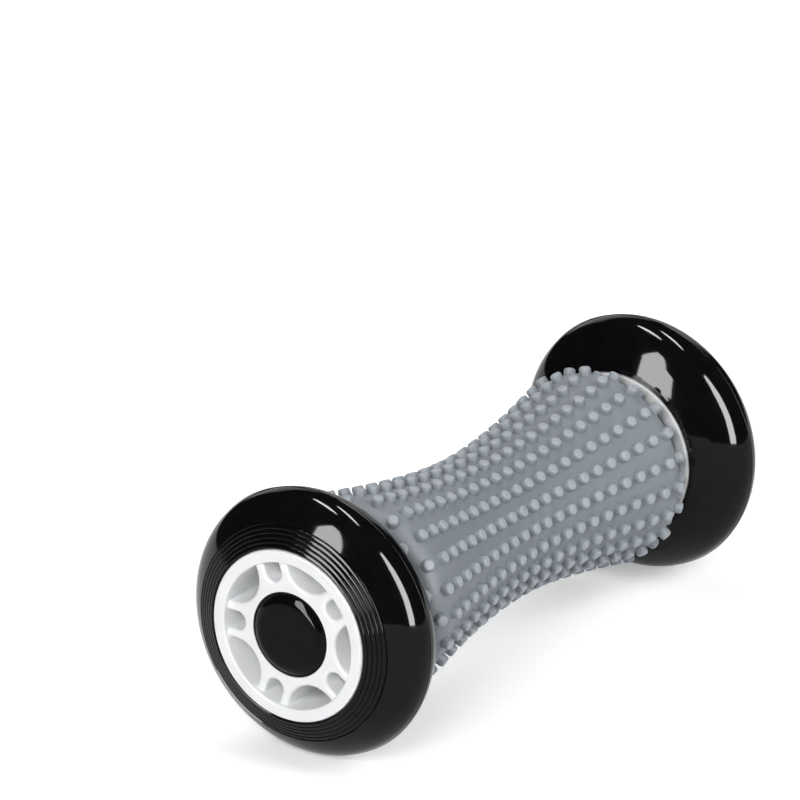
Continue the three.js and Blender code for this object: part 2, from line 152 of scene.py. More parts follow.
class Nodes:
    """The node tree of a material or of the world, with short calls to add and join its nodes."""

    def __init__(self, owner: bpy.types.Material | bpy.types.World) -> None:
        """Starts with an empty tree.

        Args:
            owner: The material or world.
        """
        owner.use_nodes = True
        self.owner, self.tree = owner, owner.node_tree
        self.tree.nodes.clear()

    def add(self, kind: str, inputs: dict | None = None, **settings) -> bpy.types.Node:
        """Adds a node.

        Args:
            kind: Blender's type name of the node.
            inputs: Values or sockets for the node's inputs, by name or number.
            **settings: The node's own properties.

        Returns:
            The new node.
        """
        node = self.tree.nodes.new(kind)
        for name, value in settings.items():
            setattr(node, name, value)
        for name, value in (inputs or {}).items():
            if isinstance(value, bpy.types.NodeSocket):
                self.tree.links.new(value, node.inputs[name])
            else:
                node.inputs[name].default_value = value
        return node

    def math(self, operation: str, first: Socket, second: Socket | float) -> Socket:
        """Works out one value from two."""
        return self.add("ShaderNodeMath", {0: first, 1: second}, operation=operation).outputs[0]

    def coordinates(self) -> Socket:
        """The piece's own coordinates, in metres."""
        return self.add("ShaderNodeTexCoord").outputs["Object"]

    def noise(self, size: float, detail: float, where: Socket | None = None) -> Socket:
        """A noise with spots of about one size and finer layers, at the piece's own coordinates or others."""
        inputs = {"Vector": where or self.coordinates(), "Scale": 1 / size, "Detail": detail}
        return self.add("ShaderNodeTexNoise", inputs | {"Roughness": 0.55}).outputs["Fac"]

    def between(self, noise: Socket, low: float, high: float) -> Socket:
        """Maps a noise to a range, with its rare low and high values cut off."""
        inputs = {"Value": noise, "From Min": 0.3, "From Max": 0.7, "To Min": low, "To Max": high}
        return self.add("ShaderNodeMapRange", inputs).outputs["Result"]

    def blend(self, share: Socket, first: Socket | Color, second: Socket | Color) -> Socket:
        """Mixes a share of a second colour into a first; each is a linear colour or a colour socket."""
        colors = [c if isinstance(c, bpy.types.NodeSocket) else (*c, 1.0) for c in (first, second)]
        return self.add("ShaderNodeMix", {0: share, 6: colors[0], 7: colors[1]}, data_type="RGBA").outputs[2]

    def mottle(self, noise: Socket, tone: str, darkest: float) -> Socket:
        """A tone that a noise darkens in places, at most to a share of it."""
        base = linear(tone)
        return self.blend(self.between(noise, 0, 1), tuple(c * darkest for c in base), base)

    def bump(self, height: Socket, depth: float, strength: float, below: Socket | None = None) -> Socket:
        """Turns a height into a normal.

        Args:
            height: The height's value socket.
            depth: Its real depth in metres.
            strength: How much of it shows.
            below: A coarser bump's normal, if there is one.

        Returns:
            The normal's socket.
        """
        inputs = {"Height": height, "Distance": depth, "Strength": strength}
        if below is not None:
            inputs["Normal"] = below
        return self.add("ShaderNodeBump", inputs).outputs["Normal"]

    def end(self, shader: bpy.types.Node, output: str = "ShaderNodeOutputMaterial") -> bpy.types.ID:
        """Joins the last shader to the output, and returns the tree's owner."""
        self.add(output, {"Surface": shader.outputs[0]})
        return self.owner

    def surface(self, inputs: dict) -> bpy.types.Material:
        """Ends the material in a principled surface with the given inputs."""
        return self.end(self.add("ShaderNodeBsdfPrincipled", inputs))


@dataclass(frozen=True)
class Finish:
    """What every finish has: its name, the record's slot, its tone and its roughness."""

    name: str
    slot: Slot
    tone: str
    roughness: float

    def material(self) -> bpy.types.Material:
        """The finish's material, made once."""
        return bpy.data.materials.get(self.name) or self.make(Nodes(bpy.data.materials.new(self.name)))

    def make(self, nodes: Nodes) -> bpy.types.Material:
        """Builds the material in empty nodes; each kind of finish has its own way."""
        raise NotImplementedError


@dataclass(frozen=True)
class SatinRubber(Finish):
    """Moulded rubber: faint mottling, painted light on the stud tops, which are drawn lighter towards the
    top, and a fine matt grain.
    """

    painted_top_light_tone: str
    grain: float = 0.35 * MM
    swell: float = 4 * MM
    mottling: float = 9 * MM

    def make(self, nodes: Nodes) -> bpy.types.Material:
        """Builds the rubber.

        Args:
            nodes: The empty material.

        Returns:
            The finished material.
        """
        mottled = nodes.mottle(nodes.noise(self.mottling, detail=3), self.tone, darkest=0.93)
        # Painted highlight: the stud tops are blended towards a lighter tone by their height share, standing
        # in for the light that falls on them.
        painted_top_light = nodes.add("ShaderNodeAttribute", attribute_name=StuddedSleeve.PAINTED_LIGHT_ATTRIBUTE).outputs["Fac"]
        coarse = nodes.noise(self.swell, detail=2)
        soft = nodes.bump(coarse, depth=0.05 * MM, strength=0.35)
        fine = nodes.noise(self.grain, detail=2)
        return nodes.surface({
            "Base Color": nodes.blend(painted_top_light, mottled, linear(self.painted_top_light_tone)),
            "Roughness": nodes.between(coarse, self.roughness - 0.05, self.roughness + 0.06),
            "Specular IOR Level": 0.3,
            "Sheen Weight": 0.12,
            "Sheen Roughness": 0.5,
            "Normal": nodes.bump(fine, depth=0.02 * MM, strength=0.5, below=soft),
        })


@dataclass(frozen=True)
class BlackGloss(Finish):
    """Polished black: faint clouds in the colour, smudges in the gloss and a very slight swell."""

    cloud_tone: str = "0e0e10"
    clouds: float = 5 * MM
    smudges: float = 7 * MM
    swell: float = 14 * MM
    specular: float = 0.12

    def make(self, nodes: Nodes) -> bpy.types.Material:
        """Builds the gloss.

        Args:
            nodes: The empty material.

        Returns:
            The finished material.
        """
        clouds = nodes.between(nodes.noise(self.clouds, detail=4), 0, 1)
        smudges = nodes.noise(self.smudges, detail=4)
        return nodes.surface({
            "Base Color": nodes.blend(clouds, linear(self.tone), linear(self.cloud_tone)),
            "Roughness": nodes.between(smudges, self.roughness, self.roughness * 1.6),
            "Specular IOR Level": self.specular,
            "Normal": nodes.bump(nodes.noise(self.swell, detail=1), depth=0.06 * MM, strength=0.25),
        })


@dataclass(frozen=True)
class MouldedPlastic(Finish):
    """Moulded plastic: slight mottling and the fine spark texture of the mould."""

    flow: float = 11 * MM
    spark: float = 0.5 * MM

    def make(self, nodes: Nodes) -> bpy.types.Material:
        """Builds the plastic.

        Args:
            nodes: The empty material.

        Returns:
            The finished material.
        """
        flow = nodes.noise(self.flow, detail=2)
        return nodes.surface({
            "Base Color": nodes.mottle(flow, self.tone, darkest=0.965),
            "Roughness": nodes.between(flow, self.roughness - 0.04, self.roughness + 0.05),
            "Specular IOR Level": 0.2,
            "Normal": nodes.bump(nodes.noise(self.spark, detail=1), depth=0.012 * MM, strength=0.4),
        })


@dataclass(frozen=True)
class TurnedMetal(Finish):
    """Turned or ground metal: fine rings about the axle and small changes of tone."""

    ring: float = 0.12 * MM
    mottling: float = 5 * MM

    def make(self, nodes: Nodes) -> bpy.types.Material:
        """Builds the metal.

        Args:
            nodes: The empty material.

        Returns:
            The finished material.
        """
        split = nodes.add("ShaderNodeSeparateXYZ", {"Vector": nodes.coordinates()}).outputs
        across = nodes.add("ShaderNodeCombineXYZ", {"X": split["X"], "Z": split["Z"]}).outputs["Vector"]
        radius = nodes.add("ShaderNodeVectorMath", {0: across}, operation="LENGTH").outputs["Value"]
        rings = nodes.add("ShaderNodeCombineXYZ", {"X": radius, "Y": split["Y"]}).outputs["Vector"]
        lathe = nodes.noise(self.ring, detail=2, where=rings)
        return nodes.surface({
            "Base Color": nodes.mottle(nodes.noise(self.mottling, detail=3), self.tone, darkest=0.85),
            "Metallic": 1.0,
            "Roughness": nodes.between(lathe, self.roughness, self.roughness + 0.12),
            "Normal": nodes.bump(lathe, depth=0.01 * MM, strength=0.4),
        })


# The rubber's second, lighter tone is the painted light on the stud tops.
RUBBER = SatinRubber("blue_grey_rubber", Slot.SLEEVE, "7d848b", 0.58, painted_top_light_tone="9ba2a9")
TYRE_GLOSS = BlackGloss("black_urethane", Slot.TYRE, "09090a", 0.05)
CAP_GLOSS = BlackGloss("black_cap_gloss", Slot.CAP, "090909", 0.04, specular=0.07)
WHITE_SHELL = MouldedPlastic("white_shell", Slot.HUB, "f2f3f4", 0.42)
DARK_SHELL = MouldedPlastic("dark_shell", Slot.CORE, "4a4d52", 0.5)
GROUND_STEEL = TurnedMetal("ground_steel", Slot.BEARING, "c8cacd", 0.12)
BRASS = TurnedMetal("cage_brass", Slot.CAGE, "b8924a", 0.28)
ZINC = TurnedMetal("zinc_plate", Slot.ZINC, "b3b7ba", 0.3)
BLACK_OXIDE = TurnedMetal("black_oxide", Slot.SCREW, "2c2d2f", 0.38)


# Mesh work


def linked(mesh: bmesh.types.BMesh, name: str, material: bpy.types.Material) -> bpy.types.Object:
    """Turns a mesh under work into an object of the scene.

    Args:
        mesh: The mesh, which is freed.
        name: The object's name.
        material: Its first material.

    Returns:
        The new object, at the origin.
    """
    data = bpy.data.meshes.new(name)
    mesh.to_mesh(data)
    mesh.free()
    data.materials.append(material)
    made = bpy.data.objects.new(name, data)
    bpy.context.scene.collection.objects.link(made)
    return made


@dataclass
class Loop:
    """A closed row of vertices, in order."""

    verts: list

    def edges(self) -> list:
        """The edges that join neighbouring vertices of the row."""
        own = set(self.verts)
        return list({e for v in self.verts for e in v.link_edges if e.other_vert(v) in own})


class Workpiece:
    """A mesh under work, from its first points to the finished object."""

    SHARP = math.radians(38)
    BEVELLED = math.radians(50)
    JOIN = 1e-7

    def __init__(self) -> None:
        """Starts with an empty mesh."""
        self.mesh = bmesh.new()

    def turn(self, outline: Outline, segments: int) -> Workpiece:
        """Spins an outline round the axle.

        Args:
            outline: The outline, which is closed unless it starts on the axle.
            segments: The number of faces round the axle.

        Returns:
            The same workpiece.
        """
        verts = [self.mesh.verts.new((radius, -out, 0.0)) for radius, out in outline]
        pairs = list(zip(verts, verts[1:]))
        if outline[0][0] > 0:
            pairs.append((verts[-1], verts[0]))
        edges = [self.mesh.edges.new(pair) for pair in pairs]
        bmesh.ops.spin(
            self.mesh, geom=verts + edges, cent=(0, 0, 0), axis=(0, 1, 0), angle=FULL_TURN,
            steps=segments, use_merge=True,
        )
        return self.join()

    def join(self) -> Workpiece:
        """Merges points that lie on each other and turns all faces outwards.

        Returns:
            The same workpiece.
        """
        bmesh.ops.remove_doubles(self.mesh, verts=self.mesh.verts, dist=self.JOIN)
        bmesh.ops.recalc_face_normals(self.mesh, faces=self.mesh.faces)
        return self

    def soften(self, width: float, segments: int = 3) -> Workpiece:
        """Bevels every sharp edge.

        Args:
            width: The bevel's width.
            segments: Its number of strips.

        Returns:
            The same workpiece.
        """
        sharp = [e for e in self.mesh.edges if e.calc_face_angle(0.0) > self.BEVELLED]
        bmesh.ops.bevel(
            self.mesh, geom=sharp, affect="EDGES", offset=width, offset_type="OFFSET", segments=segments,
            profile=0.5, material=-1, clamp_overlap=True,
        )
        return self

    def loop(self, points: list[Vector]) -> Loop:
        """Lays a closed row of vertices.

        Args:
            points: Their places, in order.

        Returns:
            The loop.
        """
        verts = [self.mesh.verts.new(p) for p in points]
        for pair in zip(verts, verts[1:] + verts[:1]):
            self.mesh.edges.new(pair)
        return Loop(verts)

    def sweep(self, start: Loop, rows: list[list[Vector]]) -> Loop:
        """Extrudes a loop through rows of places, each with a place for every vertex.

        Args:
            start: The loop to start from.
            rows: The places of the loop's vertices, row by row.

        Returns:
            The last loop.
        """
        row = start
        for places in rows:
            order = {v: i for i, v in enumerate(row.verts)}
            grown = bmesh.ops.extrude_edge_only(self.mesh, edges=row.edges())["geom"]
            fresh = [None] * len(places)
            for vert in (g for g in grown if isinstance(g, bmesh.types.BMVert)):
                below = next(e.other_vert(vert) for e in vert.link_edges if e.other_vert(vert) in order)
                fresh[order[below]] = vert
            for vert, place in zip(fresh, places):
                vert.co = place
            row = Loop(fresh)
        return row

    def fill(self, edges: list) -> Workpiece:
        """Fills the flat face between closed rows of edges, the outermost and those inside it."""
        bmesh.ops.triangle_fill(self.mesh, edges=edges, use_beauty=True, use_dissolve=False)
        return self

    def keep_half(self, height: float, upper: bool) -> Workpiece:
        """Cuts the piece in a level plane and closes the half that stays.

        Args:
            height: The height of the cut.
            upper: Whether the upper half stays.

        Returns:
            The same workpiece.
        """
        everything = [*self.mesh.verts, *self.mesh.edges, *self.mesh.faces]
        cut = bmesh.ops.bisect_plane(
            self.mesh, geom=everything, plane_co=(0, 0, height), plane_no=(0, 0, 1),
            clear_inner=upper, clear_outer=not upper,
        )["geom_cut"]
        return self.fill([g for g in cut if isinstance(g, bmesh.types.BMEdge)]).join()

    def finish(
        self, node: str, finish: Finish, body: Body, end: End = End.LEFT, steady: bool = True,
    ) -> bpy.types.Object:
        """Turns the mesh into the finished piece that stands for a node.

        Args:
            node: The frame's node that the piece replaces.
            finish: The piece's finish.
            body: The body that it moves with.
            end: The end of the roller that it is for.
            steady: Whether large flat faces keep their own normal beside rounded edges.

        Returns:
            The finished object.
        """
        bmesh.ops.recalc_face_normals(self.mesh, faces=self.mesh.faces)
        for face in self.mesh.faces:
            face.smooth = True
        for edge in self.mesh.edges:
            edge.smooth = edge.calc_face_angle(0.0) < self.SHARP
        self.mesh.transform(Matrix.Rotation(end.value, 4, "Z"))
        piece = linked(self.mesh, f"{node}_finished", finish.material())
        if steady:
            piece.modifiers.new("steady_flats", "WEIGHTED_NORMAL").keep_sharp = True
        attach(piece, body.value)
        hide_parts(node)
        LOG.info("%s: %d faces, rides on %s", piece.name, len(piece.data.polygons), body.value)
        return piece


def arc(centre: tuple[float, float], radius: float, start: float, end: float, steps: int) -> Outline:
    """Points of an arc in steps between two angles, which count from the first axis towards the second."""
    angles = [start + (end - start) * i / steps for i in range(steps + 1)]
    return [(centre[0] + radius * math.cos(a), centre[1] + radius * math.sin(a)) for a in angles]


def stepped(*corners: float) -> Outline:
    """An outline with square steps: a radius and a place, then the next radius and the next place in turn."""
    pairs = enumerate(zip(corners, corners[1:]))
    return [(second, first) if i % 2 else (first, second) for i, (first, second) in pairs]


def round_over(radius: float, steps: int) -> list[tuple[float, float]]:
    """The (offset, depth) steps of a hole's rounded edge, from the full offset at its face to its wall."""
    angles = [QUARTER_TURN * i / steps for i in range(steps + 1)]
    return [(radius * (1 - math.sin(a)), radius * (1 - math.cos(a))) for a in angles]


def ring(radius: float, out: float, count: int) -> list[Vector]:
    """A number of places round the axle, in order."""
    turns = [FULL_TURN * i / count for i in range(count)]
    return [Vector((radius * math.cos(a), -out, radius * math.sin(a))) for a in turns]


# Barrel


@dataclass
class BarrelLine:
    """The barrel's meridian: a flare on a curve with one handle, from the waist to a round shoulder."""

    end: float
    waist_radius: float = 18.2 * MM
    crown_radius: float = 25.0 * MM
    shoulder_radius: float = 5.0 * MM
    handle_share: float = 0.4

    def __post_init__(self) -> None:
        """Works out the shoulder's centre and where the flare meets its arc."""
        self.centre = (self.crown_radius - self.shoulder_radius, self.end - self.shoulder_radius)
        self.handle = self.handle_share * self.centre[1]
        reach = (self.centre[0] - self.waist_radius, self.centre[1] - self.handle)
        self.flare_angle = math.atan2(*reach) + math.asin(self.shoulder_radius / math.hypot(*reach))
        self.flare_end = arc(self.centre, self.shoulder_radius, -self.flare_angle, 0.0, steps=1)[0]

    def at(self, along: float) -> tuple[float, Vector]:
        """The meridian at a place along the axle.

        Args:
            along: The place, counted from the middle, of either sign.

        Returns:
            The radius there and the outward normal as (across, along).
        """
        side = math.copysign(1.0, along)
        distance = abs(along)
        if distance > self.flare_end[1]:
            sine = min(1.0, (distance - self.centre[1]) / self.shoulder_radius)
            cosine = math.sqrt(1 - sine * sine)
            return self.centre[0] + self.shoulder_radius * cosine, Vector((cosine, side * sine))
        bend = self.flare_end[1] - 2 * self.handle
        t = distance / (self.handle + math.sqrt(self.handle ** 2 + bend * distance))
        rise = self.flare_end[0] - self.waist_radius
        slope = rise * t / (self.handle + bend * t)
        return self.waist_radius + rise * t * t, Vector((1.0, -side * slope)).normalized()

    def place_of(self, way: float) -> float:
        """The place along the axle of a way, of either sign, that ends on the shoulder's arc."""
        on_arc = max(0.0, abs(way) - self.centre[1]) / self.shoulder_radius
        return math.copysign(min(abs(way), self.centre[1]) + self.shoulder_radius * math.sin(on_arc), way)

    def half(self, depth: float, flare_steps: int, shoulder_steps: int) -> Outline:
        """One half of the meridian moved inwards, from the middle to the end of the shoulder.

        Args:
            depth: How far inwards.
            flare_steps: The number of steps on the flare.
            shoulder_steps: The number of steps on the shoulder.

        Returns:
            The open outline.
        """
        points = []
        for i in range(flare_steps):
            along = self.flare_end[1] * i / flare_steps
            radius, normal = self.at(along)
            points.append((radius - depth * normal.x, along - depth * normal.y))
        radius = self.shoulder_radius - depth
        return points + arc(self.centre, radius, -self.flare_angle, QUARTER_TURN, shoulder_steps)


def both_halves(half: Outline) -> Outline:
    """Mirrors a half outline in the middle plane and joins both halves."""
    return [(radius, -along) for radius, along in reversed(half[1:])] + half


@dataclass
class StuddedSleeve:
    """The rubber sleeve: an hourglass skin with staggered rows of round studs."""

    # The name of the stored height share that masks the painted light on the stud tops.
    PAINTED_LIGHT_ATTRIBUTE = "stud_top"

    line: BarrelLine
    wall: float = 2.4 * MM
    lip_width: float = 2.4 * MM
    lip_round: float = 0.5 * MM
    rows: int = 22
    row_turn: float = math.radians(-7.35)
    pitch: float = 5.35 * MM
    stud_radius: float = 1.6 * MM
    stud_height: float = 1.95 * MM
    stud_draft: float = 0.06 * MM
    stud_round: float = 0.6 * MM
    stud_round_start: float = math.radians(8)
    stud_swell: float = 0.04 * MM
    stud_root: float = 0.12 * MM
    stud_root_height: float = 0.3 * MM
    stud_sunk: float = 0.18 * MM
    stud_sides: int = 12
    round_steps: int = 3
    outer_steps: tuple[int, int] = (36, 8)
    inner_steps: tuple[int, int] = (12, 4)
    segments: int = 132

    def skin(self) -> Outline:
        """The closed outline of the skin.

        Returns:
            The outline.
        """
        lip, end = self.line.centre[0] - self.lip_width, self.line.end
        corner = (lip + self.lip_round, end - self.lip_round)
        mouth = arc(corner, self.lip_round, QUARTER_TURN, math.pi, self.round_steps)
        outside = both_halves(self.line.half(0.0, *self.outer_steps) + mouth + [(lip, end - self.wall)])
        return outside + both_halves(self.line.half(self.wall, *self.inner_steps))[::-1]

    def stud(self) -> bpy.types.Mesh:
        """One stud standing on the origin along +Z, with a spread root and a rounded top edge.

        Returns:
            The stud's mesh, with its height share stored on its points as the mask of the painted light on
            its top.
        """
        top_radius = self.stud_radius - self.stud_draft
        round_centre = (top_radius - self.stud_round, self.stud_height - self.stud_round)
        outline = [
            (0.0, self.stud_height + self.stud_swell),
            *arc(round_centre, self.stud_round, QUARTER_TURN, self.stud_round_start, self.round_steps),
            (self.stud_radius, self.stud_root_height),
            (self.stud_radius + self.stud_root, -self.stud_sunk),
        ]
        mesh = Workpiece().turn(outline, self.stud_sides).mesh
        bmesh.ops.holes_fill(mesh, edges=[e for e in mesh.edges if e.is_boundary], sides=self.stud_sides)
        bmesh.ops.recalc_face_normals(mesh, faces=mesh.faces)
        mesh.transform(Matrix.Rotation(-QUARTER_TURN, 4, "X"))
        top = mesh.verts.layers.float.new(self.PAINTED_LIGHT_ATTRIBUTE)
        for vert in mesh.verts:
            # The cubed height share masks the painted light, which gathers at the stud's top.
            vert[top] = max(0.0, min(1.0, vert.co.z / self.stud_height)) ** 3
        data = bpy.data.meshes.new("stud")
        mesh.to_mesh(data)
        mesh.free()
        return data

    def stud_places(self) -> list[Matrix]:
        """Where every stud stands: in each row at every pitch, alternate rows shifted by half a pitch.

        Returns:
            One matrix for each stud, with its Z axis along the skin's normal.
        """
        half_pitch = self.pitch / 2
        each_side = int((self.line.end - half_pitch) / self.pitch)
        cells = 2 * (2 * each_side + 2)
        places = []
        for row in range(self.rows):
            turn = Matrix.Rotation(self.row_turn + FULL_TURN * row / self.rows, 4, "Y")
            for cell in range((row + 1) % 2, cells, 2):
                along = self.line.place_of((cell + 0.5 - cells / 2) * half_pitch)
                radius, normal = self.line.at(along)
                lean = Vector((0.0, normal.y, normal.x)).to_track_quat("Z", "X").to_matrix().to_4x4()
                places.append(turn @ Matrix.Translation((0.0, along, radius)) @ lean)
        return places

    def build(self) -> None:
        """Builds the sleeve with all its studs."""
        work = Workpiece().turn([(r, -a) for r, a in self.skin()], self.segments)
        # The skin carries the painted-light mask too, left at zero, so no painted light falls on it.
        work.mesh.verts.layers.float.new(self.PAINTED_LIGHT_ATTRIBUTE)
        stud = self.stud()
        for place in self.stud_places():
            copy = stud.copy()
            copy.transform(place)
            work.mesh.from_mesh(copy)
            bpy.data.meshes.remove(copy)
        bpy.data.meshes.remove(stud)
        work.finish("spiky_sleeve", RUBBER, Body.BARREL, steady=False)


@dataclass
class Core:
    """The stiff hollow core under the sleeve, parted level with the axle."""

    line: BarrelLine
    sleeve_wall: float = 2.4 * MM
    wall: float = 2.5 * MM
    seat_gap: float = 0.3 * MM
    rib_place: float = 18.0 * MM
    rib_width: float = 2.4 * MM
    mouth_radius: float = 15.5 * MM
    mouth_depth: float = 6.6 * MM
    axle_clear_radius: float = 4.0 * MM
    outer_steps: tuple[int, int] = (24, 4)
    inner_steps: int = 12
    segments: int = 96

    def shell(self) -> Outline:
        """The closed outline of the whole core.

        Returns:
            The outline.
        """
        depth = self.sleeve_wall + self.seat_gap
        end = self.line.end - depth
        mouth = end - self.mouth_depth
        low, high = self.rib_place - self.rib_width / 2, self.rib_place + self.rib_width / 2
        flare = [high + (mouth - high) * i / self.inner_steps for i in range(self.inner_steps + 1)]
        wall = [(self.line.at(along)[0] - depth - self.wall, along) for along in (0.0, low, *flare)]
        rib = [(self.axle_clear_radius, low), (self.axle_clear_radius, high)]
        inside = wall[:2] + rib + wall[2:] + [(self.mouth_radius, mouth), (self.mouth_radius, end)]
        return both_halves(self.line.half(depth, *self.outer_steps)) + both_halves(inside)[::-1]

    def build(self) -> None:
        """Builds both halves, parted by the seat's gap."""
        for node, upper in (("core_half_upper", True), ("core_half_lower", False)):
            height = self.seat_gap / 2 if upper else -self.seat_gap / 2
            work = Workpiece().turn(self.shell(), self.segments).keep_half(height, upper)
            work.finish(node, DARK_SHELL, Body.BARREL)


@dataclass
class AxleLine:
    """What sits on the axle: the rod, and at each end the plug, collar, spacer, washer and screw."""

    core: Core
    tap_radius: float = 2.8 * MM
    tap_depth: float = 12.0 * MM
    edge: float = 0.25 * MM
    plug_boss_wall: float = 3.0 * MM
    plug_wall: float = 2.0 * MM
    plug_flange: float = 2.6 * MM
    plug_edge: float = 0.4 * MM
    socket_radius: float = 1.75 * MM
    socket_depth: float = 1.4 * MM
    socket_sides: int = 6
    thread_pitch: float = 0.8 * MM
    thread_depth: float = 0.35 * MM
    thread_root_share: float = 0.35
    thread_crest_share: float = 0.85
    screw_sides: int = 48
    segments: int = 64

    def rod(self) -> None:
        """Builds the through axle with a tapped hole in each end."""
        extent = Extent.of("axle_rod")
        half = stepped(0.0, extent.outer - self.tap_depth, self.tap_radius, extent.outer, extent.radius)
        outline = [(radius, -along) for radius, along in half] + half[::-1]
        Workpiece().turn(outline, self.segments).soften(self.edge).finish("axle_rod", ZINC, Body.BARREL)

    def washer(self, node: str, bore: float, end: End) -> None:
        """Builds a plain ring such as a collar, spacer or washer, with eased edges."""
        work = Workpiece().turn(Extent.of(node).ring(bore), self.segments).soften(self.edge)
        work.finish(node, ZINC, Body.BARREL, end)

    def plug(self, end: End) -> None:
        """Builds the barrel's end plug: flange, spigot and boss.

        Args:
            end: The end at which it sits.
        """
        node = end.node("barrel_end_plug")
        extent = Extent.of(node)
        bore = self.core.axle_clear_radius
        boss = bore + self.plug_boss_wall
        spigot = self.core.mouth_radius - self.core.seat_gap
        flange = self.core.line.end - self.core.sleeve_wall
        outline = stepped(
            bore, extent.inner, boss, flange, spigot - self.plug_wall, extent.inner, spigot, flange,
            extent.radius, flange + self.plug_flange, boss, extent.outer, bore,
        )
        work = Workpiece().turn(outline, self.core.segments).soften(self.plug_edge)
        work.finish(node, DARK_SHELL, Body.BARREL, end)

    def screw(self, end: End) -> None:
        """Builds the axle screw with its hexagon socket and a threaded shank.

        Args:
            end: The end at which it sits.
        """
        node = end.node("axle_screw")
        extent = Extent.of(node)
        shank = self.tap_radius - self.core.seat_gap
        root = shank - self.thread_depth
        head = extent.outer - Extent.of(end.node("axle_washer")).outer - self.core.seat_gap
        turns = int((extent.width - head - self.thread_pitch) / self.thread_pitch)
        thread = [(radius, head + self.thread_pitch * (i + 1 + share)) for i in range(turns)
                  for radius, share in ((root, self.thread_root_share), (shank, self.thread_crest_share))]
        steps = [(extent.radius, head / 2)] + stepped(extent.radius, head, shank) + thread
        steps.append((root, extent.width))
        rows = [ring(radius, extent.outer - depth, self.screw_sides) for radius, depth in steps]
        work = Workpiece()
        rim = work.loop(ring(extent.radius - head / 2, extent.outer, self.screw_sides))
        tip = work.sweep(rim, rows)
        socket = work.loop(ring(self.socket_radius, extent.outer, self.socket_sides))
        depth = extent.outer - self.socket_depth
        floor = work.sweep(socket, [ring(self.socket_radius, depth, self.socket_sides)])
        work.fill(rim.edges() + socket.edges()).fill(floor.edges()).fill(tip.edges()).join()
        work.finish(node, BLACK_OXIDE, Body.BARREL, end)

    def build(self) -> None:
        """Builds the rod and everything on it at both ends."""
        self.rod()
        bore = self.core.axle_clear_radius
        for end in End:
            self.plug(end)
            self.washer(end.node("distance_collar"), bore, end)
            self.washer(end.node("race_spacer"), bore, end)
            self.washer(end.node("axle_washer"), self.tap_radius, end)
            self.screw(end)


# Wheels


@dataclass
class Bearing:
    """One shielded ball bearing of a wheel: two races and a cage with its balls."""

    end: End
    place: str
    bore: float = 4.0 * MM
    inner_wall: float = 2.0 * MM
    outer_wall: float = 1.2 * MM
    groove_depth: float = 0.8 * MM
    groove_radius: float = 2.2 * MM
    groove_rise: float = 1.4 * MM
    groove_half_angle: float = math.radians(51)
    shield: float = 0.6 * MM
    shield_step: float = 0.15 * MM
    outer_edge: float = 0.06 * MM
    inner_edge: float = 0.12 * MM
    cage_wall: float = 0.5 * MM
    cage_width: float = 3.2 * MM
    ball_count: int = 7
    seat_gap: float = 0.3 * MM
    segments: int = 96

    def node(self, kind: str) -> str:
        """The frame's node of one of the bearing's pieces."""
        return self.end.node(f"{kind}/{self.place}")

    def outer_race(self) -> None:
        """Builds the outer race with its two shields."""
        node = self.node("bearing_outer_race")
        extent = Extent.of(node)
        low, high = extent.inner, extent.outer
        lip = self.bore + self.inner_wall + self.seat_gap
        groove = extent.radius - self.outer_wall
        outline = stepped(
            lip, low + self.shield_step, groove, low, extent.radius, high, groove, high - self.shield_step,
            lip, high - self.shield, groove, low + self.shield, lip,
        )
        work = Workpiece().turn(outline, self.segments).soften(self.outer_edge, segments=2)
        work.finish(node, GROUND_STEEL, Body.wheel(self.end), self.end)

    def inner_race(self) -> None:
        """Builds the inner race with its ball groove."""
        node = self.node("bearing_inner_race")
        extent = Extent.of(node)
        low, high = extent.inner, extent.outer
        land = self.bore + self.inner_wall
        start, stop = math.pi - self.groove_half_angle, math.pi + self.groove_half_angle
        groove = arc((land + self.groove_rise, extent.middle), self.groove_radius, start, stop, steps=8)
        outline = [(self.bore, high), (land, high), *groove, (land, low), (self.bore, low)]
        work = Workpiece().turn(outline, self.segments).soften(self.inner_edge, segments=2)
        work.finish(node, GROUND_STEEL, Body.BARREL, self.end)

    def cage(self) -> None:
        """Builds the brass cage ring with its steel balls."""
        node = self.node("ball_cage")
        middle = Extent.of(node).middle
        inner = self.bore + self.inner_wall - self.groove_depth
        outer = Extent.of(self.node("bearing_outer_race")).radius - self.outer_wall
        pitch = (inner + outer) / 2
        ball = (outer - inner) / 2 - self.seat_gap
        cage = Extent(pitch + self.cage_wall / 2, middle - self.cage_width / 2, middle + self.cage_width / 2)
        work = Workpiece().turn(cage.ring(pitch - self.cage_wall / 2), self.segments)
        ring_faces = set(work.mesh.faces)
        for i in range(self.ball_count):
            turn = Matrix.Rotation(FULL_TURN * i / self.ball_count, 4, "Y")
            place = turn @ Matrix.Translation((0.0, -middle, pitch))
            bmesh.ops.create_uvsphere(work.mesh, u_segments=28, v_segments=16, radius=ball, matrix=place)
        for face in work.mesh.faces:
            face.material_index = 0 if face in ring_faces else 1
        piece = work.finish(node, BRASS, Body.cages(self.end), self.end, steady=False)
        piece.data.materials.append(GROUND_STEEL.material())

    def build(self) -> None:
        """Builds the bearing's three pieces."""
        self.outer_race()
        self.inner_race()
        self.cage()


